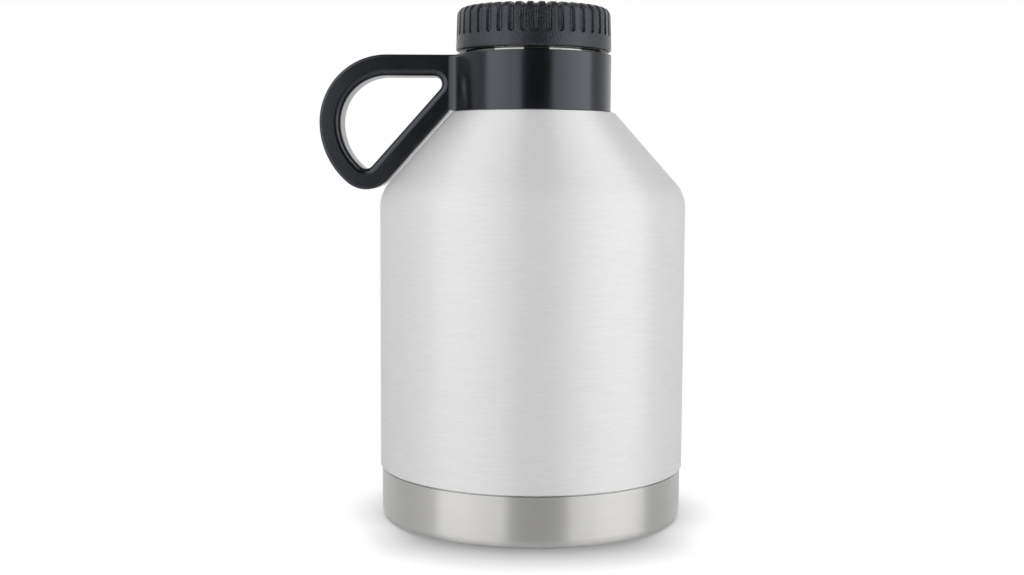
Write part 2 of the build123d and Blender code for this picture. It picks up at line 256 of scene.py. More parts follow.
def makeBaseCup(shape):
    # Turned sheet: side with a groove at the seam, bottom corner, foot ring, floor and the well in its
    # middle, then back inside it at wall's distance
    low, high = box("base_cup")
    seam = box("outer_shell")[0][2]
    radius = high[0]
    sunk = radius - shape["grooveDepth"]
    grooveFoot = seam - shape["grooveHeight"]
    line = [(radius, high[2]), (radius, seam + shape["grooveStart"]), (sunk, seam + shape["grooveLip"]),
            (sunk, grooveFoot), (radius, grooveFoot - shape["grooveEdge"]), (radius, low[2]),
            (shape["footInner"], low[2]), (shape["footInner"], shape["footStep"]),
            (shape["wellRadius"], shape["footStep"]), (shape["wellRadius"], shape["wellTop"]),
            (shape["ventRadius"], shape["wellTop"])]
    inner = insetLine(line, shape["wall"])
    corners = line + inner[::-1].tolist()
    radii = shape["outerRounds"] + shape["innerRounds"]
    profile = outline(corners, radii, rows=shape["rows"], steps=shape["bendSteps"])
    piece = gridMesh("baseCup", turnedGrid(profile, shape["columns"]))
    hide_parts("base_cup")
    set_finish(piece, "brushed_steel")
    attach(piece, "vessel")
    return piece


capShape = {
    "draft": 0.5,            # smaller at the top by this much in radius
    "roof": 2.6,
    "bore": 30.0,
    "topRound": 3.7,
    "edgeRound": 0.8,
    "dishRadius": 26.6,      # shallow dish in the top, which the flutes open into
    "dishDepth": 0.6,
    "dishEdge": 1.2,
    "runIn": 1.6,            # how far the flutes run in over the top
    "flutes": 40,
    "turn": 1.7,             # degrees round the axis
    "fluteRadius": 1.3,
    "fluteLift": 0.2,        # flute's centre line outside the wall at the top
    "plainBand": 6.2,
    "fluteEdge": 0.22,       # softness of the flute's edges
    "fluteTrim": 0.03,       # taken off the depth, so that the softness ends at the lands
    "gather": 2.4,           # width of the ring where even columns become fitted ones
    "fitOver": 1.6,
    "leastReach": 0.12,      # square of a flute's least half width
    "lands": (0.05, 0.2),    # columns beside a flute, as shares of the half land
    "across": 9,             # columns in a flute
    "rows": {"middle": 6, "gather": 11, "top": 22, "round": 15, "wall": 9, "fluteEnd": 12,
             "below": 3, "band": 6, "edge": 4, "edgeBend": 9, "thread": 40, "bore": 5, "ceiling": 6},
    "below": (0.1, 0.6, 1.4),           # rows under the flutes' feet
    "rimInner": 1.2,                    # width of the bottom rim's inner part
    "mouth": ((0.3, 0.0), (0.06, 0.12), (0.0, 0.35)),   # bore's flare at the bottom
    "mouthTop": 0.45,
    "threadGap": 0.4,
    "thread": {"bottom": 206.85, "lead": 8.0, "starts": 2, "turns": 1.1,
               "foot": 1.5, "crest": 0.7, "height": 1.1, "runOut": 14.0},
}


def capRows(shape, low, high):
    # Cap's profile from the top's middle over the round edge and down the wall. The dish's rim is a
    # smooth step, 3 s^2 - 2 s^3, in height, and the wall's radius grows by draft from top to bottom
    rows, gather, below = shape["rows"], shape["gather"], shape["below"]
    top, bottom = high[2], low[2]
    wall = high[0] - shape["draft"]
    centre = np.array([wall - shape["topRound"], top - shape["topRound"]])
    fluteEnd = centre[0] - shape["runIn"] - shape["fluteRadius"]
    radii = np.concatenate([np.linspace(0, fluteEnd - gather, rows["middle"])[:-1],
                            np.linspace(fluteEnd - gather, fluteEnd, rows["gather"])[:-1],
                            np.linspace(fluteEnd, centre[0], rows["top"])[:-1]])
    step = np.clip((radii - shape["dishRadius"]) / shape["dishEdge"], 0, 1)
    disc = np.stack([radii, top - shape["dishDepth"] * (1 - step**2 * (3 - 2 * step))], 1)
    angle = np.linspace(math.pi / 2, 0, rows["round"])
    arc = centre + shape["topRound"] * np.stack([np.cos(angle), np.sin(angle)], 1)
    foot = bottom + shape["plainBand"]
    heights = np.concatenate([
        np.linspace(centre[1], foot + shape["fluteRadius"], rows["wall"])[1:],
        foot + shape["fluteRadius"] * np.cos(np.linspace(0, math.pi / 2, rows["fluteEnd"]))[1:],
        np.linspace(foot - below[0], foot - below[1], rows["below"]),
        np.linspace(foot - below[2], bottom + shape["edgeRound"], rows["band"]),
    ])
    slope = shape["draft"] / (centre[1] - bottom)
    side = np.stack([wall + (centre[1] - heights) * slope, heights], 1)
    edge = outline([side[-1] + [0, 1], (side[-1][0], bottom), (shape["bore"] + shape["rimInner"], bottom)],
                   [0, shape["edgeRound"], 0], rows=rows["edge"], steps=rows["edgeBend"], closed=False)
    edge = edge[edge[:, 1] < side[-1][1] - tiny]
    return np.concatenate([disc, arc, side, edge]), centre, foot, fluteEnd


def pastEnds(r, z, centre, foot, shape):
    # Distance past the ends of a flute's centre line: foot + f - z below, and centre - runIn - r on top
    past = np.maximum(foot + shape["fluteRadius"] - z, 0)
    return past + np.maximum(centre[0] - shape["runIn"] - r, 0)


def fluteDepth(r, z, across, centre, foot, shape):
    # Depth of a round-ended channel: sqrt(f^2 - e^2 - u^2) - lift, where u is the distance across it,
    # e the distance past the end of its centre line, and lift how far that line lies outside the wall.
    # Its edges are softened by (d + sqrt(d^2 + s^2)) / 2
    past = pastEnds(r, z, centre, foot, shape)
    squared = shape["fluteRadius"]**2 - past**2 - across**2
    lift = np.where(z < centre[1], centre[0] + shape["topRound"] + shape["fluteLift"] - r, shape["fluteLift"])
    depth = np.sign(squared) * np.sqrt(np.abs(squared)) - lift
    return np.maximum((depth + np.hypot(depth, shape["fluteEdge"])) / 2 - shape["fluteTrim"], 0)


def makeCapShell(shape):
    # Fluted cap: columns follow the flutes' edges, and each point sinks by the flute's depth along the
    # profile's normal. Inside, the thread's height is taken off the bore's radius
    low, high = box("cap_shell")
    outside, centre, foot, fluteEnd = capRows(shape, low, high)
    r, z = outside[:, 0:1], outside[:, 1:2]
    past = pastEnds(r, z, centre, foot, shape)
    reach = np.sqrt(np.maximum(shape["fluteRadius"]**2 - past**2, shape["leastReach"]))
    pitch = 2 * np.pi / shape["flutes"]
    inFlute = np.sin(np.linspace(-math.pi / 2, math.pi / 2, shape["across"]))
    halfLand = np.maximum(r * pitch / 2 - reach, 0)
    land = np.array(shape["lands"])
    across = np.concatenate([-reach - halfLand * land[::-1], reach * inFlute, reach + halfLand * land,
                             r * pitch / 2], 1)
    even = np.linspace(-0.5, 0.5, across.shape[1] + 1)[1:] * pitch
    fitted = np.clip((r - fluteEnd) / shape["fitOver"] + 1, 0, 1)
    offset = even + (across / np.maximum(r, 1) - even) * fitted**2 * (3 - 2 * fitted)
    t = (np.arange(shape["flutes"])[:, None] * pitch + offset[:, None, :]).reshape(len(outside), -1)
    t += math.radians(shape["turn"])
    acrossAll = np.tile(r * np.sin(offset), (1, shape["flutes"]))
    depth = fluteDepth(r, z, acrossAll, centre, foot, shape)
    tangent = np.gradient(outside, axis=0)
    tangent /= np.linalg.norm(tangent, axis=1)[:, None]
    normal = np.stack([-tangent[:, 1], tangent[:, 0]], 1)
    margin = 0.1
    depth = np.where((r > fluteEnd - margin) & (z > foot - margin), depth, 0)
    sunkR = r - depth * normal[:, 0:1]
    sunkZ = z - depth * normal[:, 1:2]
    upper = np.stack([sunkR * np.cos(t), sunkR * np.sin(t), sunkZ], 2)

    bore, thread, rows = shape["bore"], shape["thread"], shape["rows"]
    ceiling = high[2] - shape["roof"]
    threadTop = thread["bottom"] + thread["lead"] * thread["turns"] + thread["foot"]
    heights = np.concatenate([np.linspace(thread["bottom"] - thread["foot"] / 2, threadTop, rows["thread"]),
                              np.linspace(threadTop + shape["threadGap"], ceiling, rows["bore"])])
    heights = heights[heights > low[2] + shape["mouthTop"]]
    roof = runPoints(np.array([bore, ceiling]), np.array([0.0, ceiling]), rows["ceiling"])[1:]
    inside = np.concatenate([np.array([bore, low[2]]) + shape["mouth"],
                             np.stack([np.full(len(heights), bore), heights], 1), roof])
    innerR, innerZ = inside[:, 0:1], inside[:, 1:2]
    innerT = np.broadcast_to(t[-1], (len(inside), t.shape[1]))
    onWall = np.abs(innerR - bore) < tiny
    innerR = innerR - np.where(onWall, thread["height"] * threadRise(innerZ, innerT, thread), 0)
    lower = np.stack([innerR * np.cos(innerT), innerR * np.sin(innerT), innerZ + 0 * innerT], 2)
    piece = gridMesh("capShell", np.concatenate([upper, lower]), closedRows=False)
    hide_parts("cap_shell")
    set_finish(piece, "black_cap")
    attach(piece, "cap")
    return piece


neckShape = {
    "grooveInner": 29.3,
    "grooveBottom": 202.35,
    "grooveTop": 203.55,
    "step": 203.95,
    "root": 28.6,
    "bore": 27.15,
    "mouth": 26.5,
    "lip": 3.0,
    "rounds": (0.1, 0.3, 0.1, 0.1, 0.1, 0.1, 0.1, 0.4, 0.6, 0.6, 0.2, 0.1),
    "rows": 5,
    "bendSteps": 5,
    "threadRows": 56,
    "thread": {"bottom": 208.85, "lead": 8.0, "starts": 2, "turns": 1.1,
               "foot": 1.9, "crest": 1.0, "height": 1.1, "runOut": 16.0},
    "columns": 320,
}


def makeNeckFinish(shape):
    # Turned neck with a two-start thread: the thread's rise is added to the radius of its outer wall
    low, high = box("neck_finish")
    thread, rows = shape["thread"], shape["threadRows"]
    top, skirt = high[2], high[0]
    corners = [(shape["bore"], low[2]), (skirt, low[2]), (skirt, shape["grooveBottom"]),
               (shape["grooveInner"], shape["grooveBottom"]), (shape["grooveInner"], shape["grooveTop"]),
               (skirt, shape["grooveTop"]), (skirt, shape["step"]), (shape["root"], shape["step"]),
               (shape["root"], top), (shape["mouth"], top), (shape["mouth"], top - shape["lip"]),
               (shape["bore"], top - shape["lip"])]
    profile = outline(corners, shape["rounds"], rows=shape["rows"], steps=shape["bendSteps"])
    onRoot = np.abs(profile[:, 0] - shape["root"]) < tiny
    first, last = np.flatnonzero(onRoot)[[0, -1]]
    heights = np.linspace(profile[first, 1], profile[last, 1], rows)
    wall = np.stack([np.full(rows, shape["root"]), heights], 1)
    profile = np.concatenate([profile[:first], wall, profile[last + 1:]])
    grid = turnedGrid(profile, shape["columns"])
    t = np.linspace(0, 2 * np.pi, shape["columns"], endpoint=False)
    rise = np.zeros(grid.shape[:2])
    rise[first:first + rows] = thread["height"] * threadRise(wall[:, 1:2], t, thread)
    grid[..., 0] += rise * np.cos(t)
    grid[..., 1] += rise * np.sin(t)
    piece = gridMesh("neckFinish", grid)
    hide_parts("neck_finish")
    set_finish(piece, "machined_steel")
    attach(piece, "vessel")
    return piece


coatedShell = makeCoatedShell(shellShape)
baseCup = makeBaseCup(cupShape)
capShell = makeCapShell(capShape)
neckFinish = makeNeckFinish(neckShape)
print("pieces made:", [(p.name, len(p.data.polygons)) for p in (coatedShell, baseCup, capShell, neckFinish)])


def addNode(tree, kind, **settings):
    # A node with its properties and, where a name is an input's, that input's value
    item = tree.nodes.new("ShaderNode" + kind)
    for name, value in settings.items():
        if hasattr(item, name):
            setattr(item, name, value)
        else:
            item.inputs[name.replace("_", " ")].default_value = value
    return item


def calc(tree, operation, first, second=None, clamp=False):
    # A Math node, first (operation) second; each term is a number or another node's output
    item = addNode(tree, "Math", operation=operation, use_clamp=clamp)
    for place, term in enumerate((first, second)):
        if isinstance(term, (int, float)):
            item.inputs[place].default_value = term
        elif term is not None:
            tree.links.new(term, item.inputs[place])
    return item.outputs[0]


def remap(tree, value, low, high, toLow, toHigh, smooth=True):
    # toLow + (toHigh - toLow) * s, where s goes from 0 to 1 as value goes from low to high, smoothed as
    # 3 s^2 - 2 s^3 or straight
    item = addNode(tree, "MapRange", interpolation_type="SMOOTHSTEP" if smooth else "LINEAR")
    tree.links.new(value, item.inputs["Value"])
    for name, number in (("From Min", low), ("From Max", high), ("To Min", toLow), ("To Max", toHigh)):
        item.inputs[name].default_value = number
    return item.outputs["Result"]


def newGroup(name, inputs, outputs):
    # A shader node group with number inputs (name, default) and number outputs
    tree = bpy.data.node_groups.new(name, "ShaderNodeTree")
    for label, value in inputs:
        socket = tree.interface.new_socket(label, in_out="INPUT", socket_type="NodeSocketFloat")
        socket.default_value = value
    for label in outputs:
        tree.interface.new_socket(label, in_out="OUTPUT", socket_type="NodeSocketFloat")
    return tree, tree.nodes.new("NodeGroupInput"), tree.nodes.new("NodeGroupOutput")


def noise(tree, vector, scale, detail=3.0, roughness=0.55):
    # Noise at vector * scale, around 0.5
    item = addNode(tree, "TexNoise", Detail=detail, Roughness=roughness)
    tree.links.new(vector, item.inputs["Vector"])
    if isinstance(scale, (int, float)):
        item.inputs["Scale"].default_value = scale
    else:
        tree.links.new(scale, item.inputs["Scale"])
    return item.outputs["Fac"]


def objectPlace(tree):
    # The point on the object, whole and as its x, y and z
    place = addNode(tree, "TexCoord").outputs["Object"]
    parts = addNode(tree, "SeparateXYZ")
    tree.links.new(place, parts.inputs[0])
    return place, parts.outputs


def makeTurnedGrain():
    # Brushing round the axis: noise read at (x long, y long, (z - r) fine), so it streaks along
    # circles on walls, cones and flat ends alike, with no seam
    tree, given, result = newGroup("turnedGrain", [("Fine", 3000.0), ("Long", 30.0)],
                                   ["Height", "Streak"])
    x, y, z = objectPlace(tree)[1]
    r = calc(tree, "SQRT", calc(tree, "ADD", calc(tree, "MULTIPLY", x, x), calc(tree, "MULTIPLY", y, y)))
    across = calc(tree, "SUBTRACT", z, r)
    # Fine and slow brushing: the shares of Fine and Long that each is read at, and its detail
    for label, fineShare, longShare, detail in (("Height", 1.0, 1.0, 4.0), ("Streak", 0.35, 0.5, 2.0)):
        longScale = calc(tree, "MULTIPLY", given.outputs["Long"], longShare)
        fineScale = calc(tree, "MULTIPLY", given.outputs["Fine"], fineShare)
        stretched = addNode(tree, "CombineXYZ")
        tree.links.new(calc(tree, "MULTIPLY", x, longScale), stretched.inputs[0])
        tree.links.new(calc(tree, "MULTIPLY", y, longScale), stretched.inputs[1])
        tree.links.new(calc(tree, "MULTIPLY", across, fineScale), stretched.inputs[2])
        tree.links.new(noise(tree, stretched.outputs[0], 1.0, detail, 0.65), result.inputs[label])
    return tree


mouldSkin = {
    "coarse": 0.4,           # scale of the coarse bumps, as a share of the fine ones'
    "fineShare": 0.6,
    "coarseShare": 0.4,
    "cloud": 55.0,
}


def makeMouldTexture(skin):
    # Spark-eroded mould surface: fine * fineShare + coarse * coarseShare for the bumps, and slow noise
    # for cloudy patches
    tree, given, result = newGroup("mouldTexture", [("Scale", 2200.0)], ["Height", "Cloud"])
    place = objectPlace(tree)[0]
    fine = noise(tree, place, given.outputs["Scale"], 2.0, 0.6)
    coarse = noise(tree, place, calc(tree, "MULTIPLY", given.outputs["Scale"], skin["coarse"]), 2.0, 0.5)
    height = calc(tree, "ADD", calc(tree, "MULTIPLY", fine, skin["fineShare"]),
                  calc(tree, "MULTIPLY", coarse, skin["coarseShare"]))
    tree.links.new(height, result.inputs["Height"])
    tree.links.new(noise(tree, place, skin["cloud"], 3.0, 0.6), result.inputs["Cloud"])
    return tree


# Scales of the noises, and the spans of them that show
handling = {
    "smudges": 24.0, "smudgeSpan": (0.42, 0.7),
    "lines": 70.0, "lineTurn": (0.5, 0.9, 0.3), "lineStretch": (1.0, 0.16, 1.0), "lineWidth": 0.004,
    "patches": 38.0, "patchSpan": (0.55, 0.68),
}


def makeHandlingMarks(marks):
    # Smudges are slow noise; scratches are the thin lines where a stretched noise crosses its middle
    # value, kept inside patches
    tree, given, result = newGroup("handlingMarks", [("Scale", 1.0)], ["Smudge", "Scratch"])
    place = objectPlace(tree)[0]
    smudge = noise(tree, place, calc(tree, "MULTIPLY", given.outputs["Scale"], marks["smudges"]), 4.0, 0.6)
    tree.links.new(remap(tree, smudge, *marks["smudgeSpan"], 0.0, 1.0), result.inputs["Smudge"])
    stretch = addNode(tree, "Mapping", Rotation=marks["lineTurn"], Scale=marks["lineStretch"])
    tree.links.new(place, stretch.inputs["Vector"])
    lineScale = calc(tree, "MULTIPLY", given.outputs["Scale"], marks["lines"])
    lines = noise(tree, stretch.outputs[0], lineScale, 2.0, 0.5)
    away = calc(tree, "ABSOLUTE", calc(tree, "SUBTRACT", lines, 0.5))
    thin = remap(tree, away, 0.0, marks["lineWidth"], 1.0, 0.0)
    patch = remap(tree, noise(tree, place, marks["patches"], 2.0), *marks["patchSpan"], 0.0, 1.0)
    tree.links.new(calc(tree, "MULTIPLY", thin, patch), result.inputs["Scratch"])
    return tree


rubbing = {"chips": 160.0, "chipSpan": (0.4, 0.72)}


def makeRimWear(wear):
    # Worn band at one height: exp(-|z - rim| / width), broken up by noise
    tree, given, result = newGroup("rimWear", [("Rim", 0.2), ("Width", 0.0004)], ["Wear"])
    place, xyz = objectPlace(tree)
    away = calc(tree, "ABSOLUTE", calc(tree, "SUBTRACT", xyz["Z"], given.outputs["Rim"]))
    away = calc(tree, "DIVIDE", away, given.outputs["Width"])
    fade = calc(tree, "EXPONENT", calc(tree, "MULTIPLY", away, -1.0))
    broken = remap(tree, noise(tree, place, wear["chips"], 4.0, 0.7), *wear["chipSpan"], 0.0, 1.0)
    tree.links.new(calc(tree, "MULTIPLY", fade, broken), result.inputs["Wear"])
    return tree


turnedGrain = makeTurnedGrain()
mouldTexture = makeMouldTexture(mouldSkin)
handlingMarks = makeHandlingMarks(handling)
rimWear = makeRimWear(rubbing)
noiseSpan = (0.3, 0.7)   # most of a noise lies between these


def useGroup(tree, group, **values):
    # Places a node group with its own values, and returns what it puts out
    item = addNode(tree, "Group", node_tree=group)
    for name, value in values.items():
        item.inputs[name].default_value = value
    return item.outputs


def newMaterial(name, **values):
    # An empty material with a Principled shader; values are its sockets' constants
    material = bpy.data.materials.new(name)
    material.use_nodes = True
    tree = material.node_tree
    tree.nodes.clear()
    shader = addNode(tree, "BsdfPrincipled", **values)
    end = addNode(tree, "OutputMaterial")
    tree.links.new(shader.outputs[0], end.inputs["Surface"])
    return material, tree, shader


def tint(tree, shader, finish, mask):
    # Base colour: dark + (light - dark) * mask. A Mix node's colour sockets are its inputs 6 and 7 and
    # its output 2
    mix = addNode(tree, "Mix", data_type="RGBA")
    mix.inputs[6].default_value = (*finish["dark"], 1)
    mix.inputs[7].default_value = (*finish["light"], 1)
    tree.links.new(mask, mix.inputs[0])
    tree.links.new(mix.outputs[2], shader.inputs["Base Color"])


def roughen(tree, value, smudge, finish):
    # rough - spread + 2 spread * (value between the ends of noiseSpan) + smudge's mask * its share
    low, high = finish["rough"] - finish["roughSpread"], finish["rough"] + finish["roughSpread"]
    rough = remap(tree, value, *noiseSpan, low, high, smooth=False)
    return calc(tree, "ADD", rough, calc(tree, "MULTIPLY", smudge, finish["smudge"]))


def bump(tree, shader, height, distance):
    # Normal tilted by the slope of height * distance, in metres
    item = addNode(tree, "Bump", Strength=1.0, Distance=distance)
    tree.links.new(height, item.inputs["Height"])
    tree.links.new(item.outputs["Normal"], shader.inputs["Normal"])


def turnedMetal(name, finish):
    # Metal brushed or turned round the axis, with smudges and a few scratches. Glints spread across
    # the brushing, and edge is the share of light that it keeps where it turns away
    material, tree, shader = newMaterial(
        name, Metallic=finish["metallic"], Anisotropic=finish["anisotropic"], Anisotropic_Rotation=0.25,
        Specular_Tint=(finish["edge"],) * 3 + (1,), Specular_IOR_Level=finish["shine"])
    grain = useGroup(tree, turnedGrain, Fine=finish["fine"], Long=finish["long"])
    marks = useGroup(tree, handlingMarks, Scale=1.0)
    fineShare, streakShare = 0.6, 0.4
    tone = calc(tree, "ADD", calc(tree, "MULTIPLY", grain["Height"], fineShare),
                calc(tree, "MULTIPLY", grain["Streak"], streakShare))
    tint(tree, shader, finish, remap(tree, tone, *noiseSpan, 0.0, 1.0, smooth=False))
    scratch = calc(tree, "MULTIPLY", marks["Scratch"], finish["scratch"])
    rough = calc(tree, "ADD", roughen(tree, grain["Streak"], marks["Smudge"], finish), scratch)
    tree.links.new(rough, shader.inputs["Roughness"])
    height = calc(tree, "SUBTRACT", grain["Height"], scratch)
    bump(tree, shader, height, finish["bump"])
    tangent = addNode(tree, "Tangent", direction_type="RADIAL", axis="Z")
    tree.links.new(tangent.outputs[0], shader.inputs["Tangent"])
    return material


coolGleam = (0.83, 0.89, 1.0)           # tint of a black plastic's shine
plasticWear = {"scale": 1.3, "scratch": 0.5, "paler": 0.65, "smoother": 0.08}


def mouldedPlastic(name, finish, wear=plasticWear):
    # Moulded plastic: cloudy tone, fine texture, smudges, and worn rims at the given heights. Where it
    # is worn it is paler and smoother
    material, tree, shader = newMaterial(name, Specular_Tint=(*coolGleam, 1),
                                         Specular_IOR_Level=finish["shine"])
    skin = useGroup(tree, mouldTexture, Scale=finish["texture"])
    marks = useGroup(tree, handlingMarks, Scale=wear["scale"])
    worn = calc(tree, "MULTIPLY", marks["Scratch"], wear["scratch"])
    for rim in finish["rims"]:
        rimWorn = useGroup(tree, rimWear, Rim=rim, Width=finish["rimWidth"])["Wear"]
        worn = calc(tree, "MAXIMUM", worn, rimWorn)
    tone = calc(tree, "ADD", calc(tree, "MULTIPLY", skin["Cloud"], finish["cloud"]),
                calc(tree, "MULTIPLY", worn, wear["paler"]))
    tint(tree, shader, finish, tone)
    rough = calc(tree, "SUBTRACT", roughen(tree, skin["Cloud"], marks["Smudge"], finish),
                 calc(tree, "MULTIPLY", worn, wear["smoother"]))
    tree.links.new(rough, shader.inputs["Roughness"])
    bump(tree, shader, skin["Height"], finish["bump"])
    return material


coatedFinish = {
    "dark": (0.665, 0.665, 0.665), "light": (0.75, 0.75, 0.75),
    "metallic": 0.34, "anisotropic": 0.95, "edge": 0.1, "shine": 0.2,
    "rough": 0.6, "roughSpread": 0.02, "smudge": 0.015, "scratch": 0.03,
    "fine": 2800.0, "long": 150.0, "bump": 0.00001,
}
steelFinish = {
    "dark": (0.49, 0.485, 0.475), "light": (0.56, 0.555, 0.545),
    "metallic": 0.85, "anisotropic": 1.0, "edge": 1.0, "shine": 0.5,
    "rough": 0.38, "roughSpread": 0.02, "smudge": 0.03, "scratch": 0.05,
    "fine": 3600.0, "long": 16.0, "bump": 0.000006,
}
machinedFinish = {
    "dark": (0.25, 0.247, 0.24), "light": (0.31, 0.307, 0.30),
    "metallic": 1.0, "anisotropic": 0.0, "edge": 1.0, "shine": 0.5,
    "rough": 0.06, "roughSpread": 0.015, "smudge": 0.02, "scratch": 0.05,
    "fine": 4200.0, "long": 14.0, "bump": 0.000003,
}
innerFinish = {
    "dark": (0.52, 0.515, 0.50), "light": (0.60, 0.595, 0.585),
    "metallic": 1.0, "anisotropic": 0.3, "edge": 1.0, "shine": 0.5,
    "rough": 0.34, "roughSpread": 0.04, "smudge": 0.06, "scratch": 0.05,
    "fine": 1800.0, "long": 40.0, "bump": 0.00002,
}
stripFinish = {
    "dark": (0.44, 0.435, 0.42), "light": (0.52, 0.515, 0.50),
    "metallic": 1.0, "anisotropic": 0.2, "edge": 1.0, "shine": 0.5,
    "rough": 0.4, "roughSpread": 0.06, "smudge": 0.08, "scratch": 0.1,
    "fine": 1200.0, "long": 60.0, "bump": 0.00002,
}
springFinish = dict(stripFinish, dark=(0.30, 0.295, 0.28), light=(0.40, 0.39, 0.37), rough=0.3)
brazeFinish = dict(stripFinish, dark=(0.50, 0.44, 0.34), light=(0.62, 0.56, 0.44), rough=0.38)
handleFinish = {
    "dark": (0.0016, 0.0019, 0.0023), "light": (0.009, 0.010, 0.012),
    "shine": 0.6, "cloud": 0.15, "texture": 2600.0,
    "rough": 0.21, "roughSpread": 0.02, "smudge": 0.03, "bump": 0.000018,
    "rims": (0.2040, 0.1797), "rimWidth": 0.00035,
}
capFinish = {
    "dark": (0.0015, 0.0017, 0.0021), "light": (0.016, 0.017, 0.020),
    "shine": 0.53, "cloud": 0.35, "texture": 1500.0,
    "rough": 0.26, "roughSpread": 0.06, "smudge": 0.04, "bump": 0.0004,
    "rims": (0.2056, 0.2240), "rimWidth": 0.0005,
}
plugFinish = {
    "dark": (0.030, 0.031, 0.034), "light": (0.06, 0.062, 0.066),
    "shine": 0.5, "cloud": 0.35, "texture": 2400.0,
    "rough": 0.38, "roughSpread": 0.05, "smudge": 0.06, "bump": 0.00003,
    "rims": (0.2040,), "rimWidth": 0.0006,
}
rubberFinish = {
    "dark": (0.10, 0.10, 0.10), "light": (0.17, 0.17, 0.17),
    "shine": 0.4, "cloud": 0.35, "texture": 1800.0,
    "rough": 0.62, "roughSpread": 0.06, "smudge": 0.05, "bump": 0.00005,
    "rims": (0.2201,), "rimWidth": 0.0003,
}


def crinkledFoil(finish):
    # Foil: cells + crease * creaseShare give the bumps, and the cells' edges, the valleys of the creases, are
    # painted darker as a painted shade
    material, tree, shader = newMaterial("crinkledFoil", Metallic=1.0)
    place = objectPlace(tree)[0]
    cells = addNode(tree, "TexVoronoi", feature="DISTANCE_TO_EDGE", Scale=finish["cells"])
    tree.links.new(place, cells.inputs["Vector"])
    crease = noise(tree, place, finish["creases"], 4.0, 0.6)
    height = calc(tree, "ADD", cells.outputs["Distance"],
                  calc(tree, "MULTIPLY", crease, finish["creaseShare"]))
    # Painted shade: the base colour goes from dark at the cells' edges, the crease valleys, to light within
    # edge of them
    tint(tree, shader, finish, remap(tree, cells.outputs["Distance"], 0.0, finish["edge"], 0.0, 1.0))
    tree.links.new(remap(tree, crease, *noiseSpan, *finish["roughSpan"]), shader.inputs["Roughness"])
    bump(tree, shader, height, finish["bump"])
    return material


def grainySolid(name, finish, poreReach=0.6, poreTone=(1.2, 0.6), patchScale=0.3):
    # Pressed powder or foam: round cells for the pores, and slower noise * poreTone for the tone
    material, tree, shader = newMaterial(name, Metallic=0.0)
    place = objectPlace(tree)[0]
    cells = addNode(tree, "TexVoronoi", Scale=finish["cells"])
    tree.links.new(place, cells.inputs["Vector"])
    cloud = noise(tree, place, finish["cells"] * patchScale, 4.0, 0.6)
    pores = remap(tree, cells.outputs["Distance"], 0.0, poreReach, *poreTone)
    tint(tree, shader, finish, calc(tree, "MULTIPLY", cloud, pores))
    tree.links.new(remap(tree, cloud, *noiseSpan, *finish["roughSpan"]), shader.inputs["Roughness"])
    bump(tree, shader, cells.outputs["Distance"], finish["bump"])
    return material


foilFinish = {
    # dark is the painted shade in the crease valleys, and edge is how far from the cells' edges that painted
    # shade reaches
    "dark": (0.62, 0.62, 0.62), "light": (0.82, 0.82, 0.82), "cells": 140.0, "edge": 0.2,
    "creases": 420.0, "creaseShare": 0.5, "roughSpan": (0.12, 0.3), "bump": 0.0004,
}
getterFinish = {
    "dark": (0.06, 0.06, 0.065), "light": (0.20, 0.20, 0.21), "cells": 2400.0,
    "roughSpan": (0.62, 0.75), "bump": 0.00008,
}
foamFinish = {
    "dark": (0.50, 0.42, 0.25), "light": (0.80, 0.72, 0.50), "cells": 1300.0,
    "roughSpan": (0.77, 0.90), "bump": 0.0002,
}

materials = {
    "coated_shell": turnedMetal("coatedMetal", coatedFinish),
    "brushed_steel": turnedMetal("brushedSteel", steelFinish),
    "machined_steel": turnedMetal("machinedSteel", machinedFinish),
    "inner_steel": turnedMetal("innerSteel", innerFinish),
    "strip_steel": turnedMetal("stripSteel", stripFinish),
    "spring_steel": turnedMetal("springSteel", springFinish),
    "braze": turnedMetal("brazeMetal", brazeFinish),
    "black_handle": mouldedPlastic("handlePlastic", handleFinish),
    "black_cap": mouldedPlastic("capPlastic", capFinish),
    "plug_plastic": mouldedPlastic("plugPlastic", plugFinish),
    "seal_rubber": mouldedPlastic("sealRubber", rubberFinish),
    "foil": crinkledFoil(foilFinish),
    "getter": grainySolid("getterPowder", getterFinish),
    "foam": grainySolid("capFoam", foamFinish),
}
for row in frame["record"]["subparts"]:
    for place in frame["nodes"][row["node"]].material_slots:
        place.material = materials[row["material_slot"]]
for piece in (coatedShell, baseCup, capShell, neckFinish):
    piece.data.materials.append(materials[piece["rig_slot"]])
print("materials made:", len(materials))

studio = {
    "distance": 0.65,        # of the soft boxes from the axis
    "boxes": {
        "leftInner": {"azimuth": -28.0, "span": 22.0, "bottom": 0.01, "height": 1.0, "radiance": 1.8},
        "leftBox": {"azimuth": -55.0, "span": 32.0, "bottom": 0.01, "height": 1.0, "radiance": 2.1},
        "leftFill": {"azimuth": -86.0, "span": 30.0, "bottom": 0.36, "height": 0.65, "radiance": 1.7},
        "rightInner": {"azimuth": 38.0, "span": 22.0, "bottom": 0.01, "height": 1.0, "radiance": 1.8},
        "rightBox": {"azimuth": 70.0, "span": 42.0, "bottom": 0.01, "height": 1.0, "radiance": 2.2},
    },
    # The room's brightness by direction, and where each part fades into the next
    "front": 0.02, "side": 0.62, "behind": 0.9, "above": 0.55,
    "frontToSide": (-0.9, 0.1), "sideToBehind": (0.3, 1.0), "sideToAbove": (0.2, 0.9),
    "whiteBehind": (0.5, 0.8),
    # The floor as the growler sees it, and as the camera does
    "floorHalf": 12.0, "floorAlbedo": 0.9, "floorGloss": 0.1, "floorRough": 0.3,
    "floorSeen": 0.3, "floorLift": 0.79, "floorNear": 0.14, "floorFar": 0.34, "floorBehind": (0.2, 0.8),
    # The contact shadow, strongest in front, and where its front fades into its sides
    "shadowReach": 0.041, "shadowFront": 1.38, "shadowSide": 1.2, "frontEnds": (-0.85, -0.4),
    "sideSpared": 0.22, "shadowDeepest": 0.36, "shadowSamples": 16,
}


